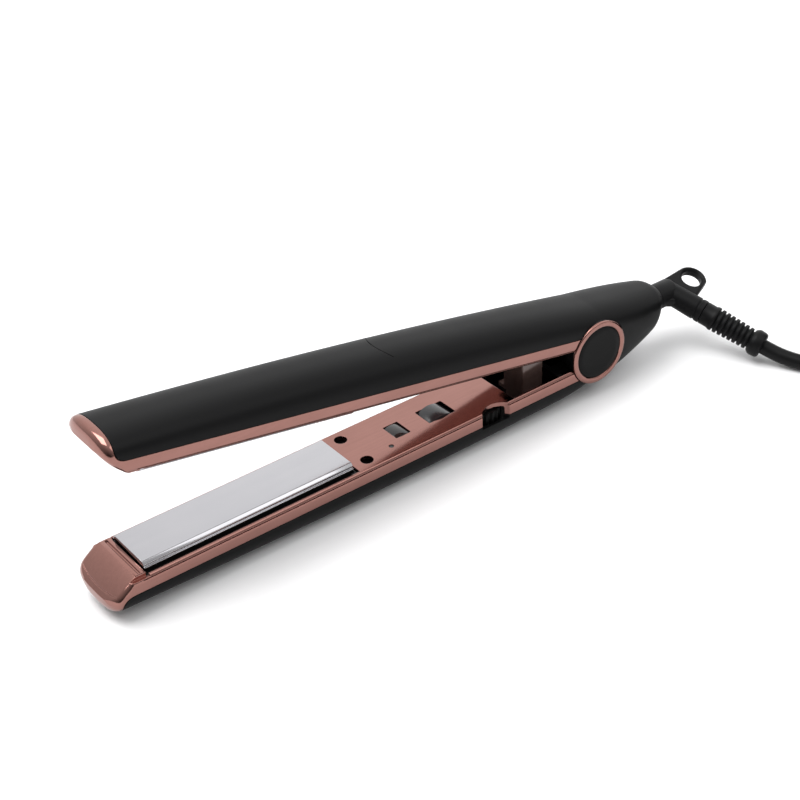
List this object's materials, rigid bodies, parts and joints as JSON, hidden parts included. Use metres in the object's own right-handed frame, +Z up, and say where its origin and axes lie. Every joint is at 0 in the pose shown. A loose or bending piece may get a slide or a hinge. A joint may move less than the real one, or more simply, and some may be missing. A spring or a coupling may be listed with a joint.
{
  "type": "hair straightener",
  "caption": "Hinged hair straightener standing open: slim round-backed arms with mirror plates, a thumbwheel and rocker inside the lower arm, a ringed pivot and a swivel cord with hanging loop.",
  "frame": {"origin": "middle of the flat strip that the lower arm rests on", "axes": "+X from the tips towards the cord, +Z up out of the lower arm into the jaw, +Y to the side away from the thumbwheel"},
  "size_m": [0.4406, 0.1227, 0.08],
  "materials": {
    "soft_black": "soft-touch matt",
    "rose_plated": "rose-gold electroplated gloss",
    "mirror_plate": "polished mirror",
    "gloss_black": "gloss",
    "ribbed_black": "moulded matt",
    "heater_ceramic": "bisque",
    "steel": "bright",
    "brass": "turned",
    "board": "satin",
    "indicator": "clear gloss, dark"
  },
  "bodies": {
    "upper_arm": {"upper_shell": "soft_black", "upper_liner": "rose_plated", "upper_plate_cushion": "ribbed_black", "upper_liner_screw_1": "steel", "upper_liner_screw_2": "steel", "pivot_ring_near": "rose_plated", "pivot_cap_near": "gloss_black", "pivot_ring_far": "rose_plated", "pivot_cap_far": "gloss_black", "hinge_pin": "steel", "cord": "ribbed_black", "cord_coil": "ribbed_black", "coil_tie": "ribbed_black", "plug_lead": "ribbed_black", "plug_body": "ribbed_black", "plug_pin_left": "steel", "plug_pin_right": "steel"},
    "lower_arm": {"lower_shell": "soft_black", "lower_liner": "rose_plated", "lower_plate_cushion": "ribbed_black", "lower_liner_screw_1": "steel", "lower_liner_screw_2": "steel", "hinge_bush_near": "brass", "hinge_bush_far": "brass", "spring_tower": "rose_plated", "indicator_lens": "indicator", "indicator_led": "indicator", "rocker_housing": "ribbed_black", "circuit_board": "board", "potentiometer": "steel", "jaw_spring": "steel"},
    "upper_plate_float": {"upper_plate": "mirror_plate", "upper_heater": "heater_ceramic", "upper_plate_carrier": "ribbed_black"},
    "lower_plate_float": {"lower_plate": "mirror_plate", "lower_heater": "heater_ceramic", "lower_plate_carrier": "ribbed_black"},
    "temperature_wheel": {"thumbwheel": "ribbed_black"},
    "power_switch": {"power_rocker": "gloss_black"},
    "cord_swivel": {"swivel_gland": "ribbed_black", "strain_relief": "ribbed_black"}
  },
  "joints": [
    {"name": "jaw", "type": "hinge", "parent": "upper_arm", "child": "lower_arm", "pos_m": [0.103, 0, 0.02189], "axis": [0, 1, 0], "range_deg": [0, 9.95], "stiffness_Nm_per_rad": 1, "springref_deg": -28.65, "deforming": ["jaw_spring"]},
    {"name": "upper_plate_give", "type": "slide", "parent": "upper_arm", "child": "upper_plate_float", "axis": [0.1754, 0, 0.9845], "range_m": [0, 0.001], "stiffness_N_per_m": 3000, "springref_m": -0.002},
    {"name": "lower_plate_give", "type": "slide", "parent": "lower_arm", "child": "lower_plate_float", "axis": [0, 0, -1], "range_m": [0, 0.001], "stiffness_N_per_m": 3000, "springref_m": -0.002},
    {"name": "wheel_turn", "type": "hinge", "parent": "lower_arm", "child": "temperature_wheel", "pos_m": [0.0454, -0.0042, 0.0112], "axis": [0, 0, 1], "range_deg": [-135, 135]},
    {"name": "rocker_tilt", "type": "hinge", "parent": "lower_arm", "child": "power_switch", "pos_m": [0.025, -0.0002, 0.00945], "axis": [0, 1, 0], "range_deg": [-5, 5]},
    {"name": "cord_turn", "type": "hinge", "parent": "upper_arm", "child": "cord_swivel", "pos_m": [0.148, 0, 0.02355], "axis": [1, 0, 0], "continuous": true}
  ]
}
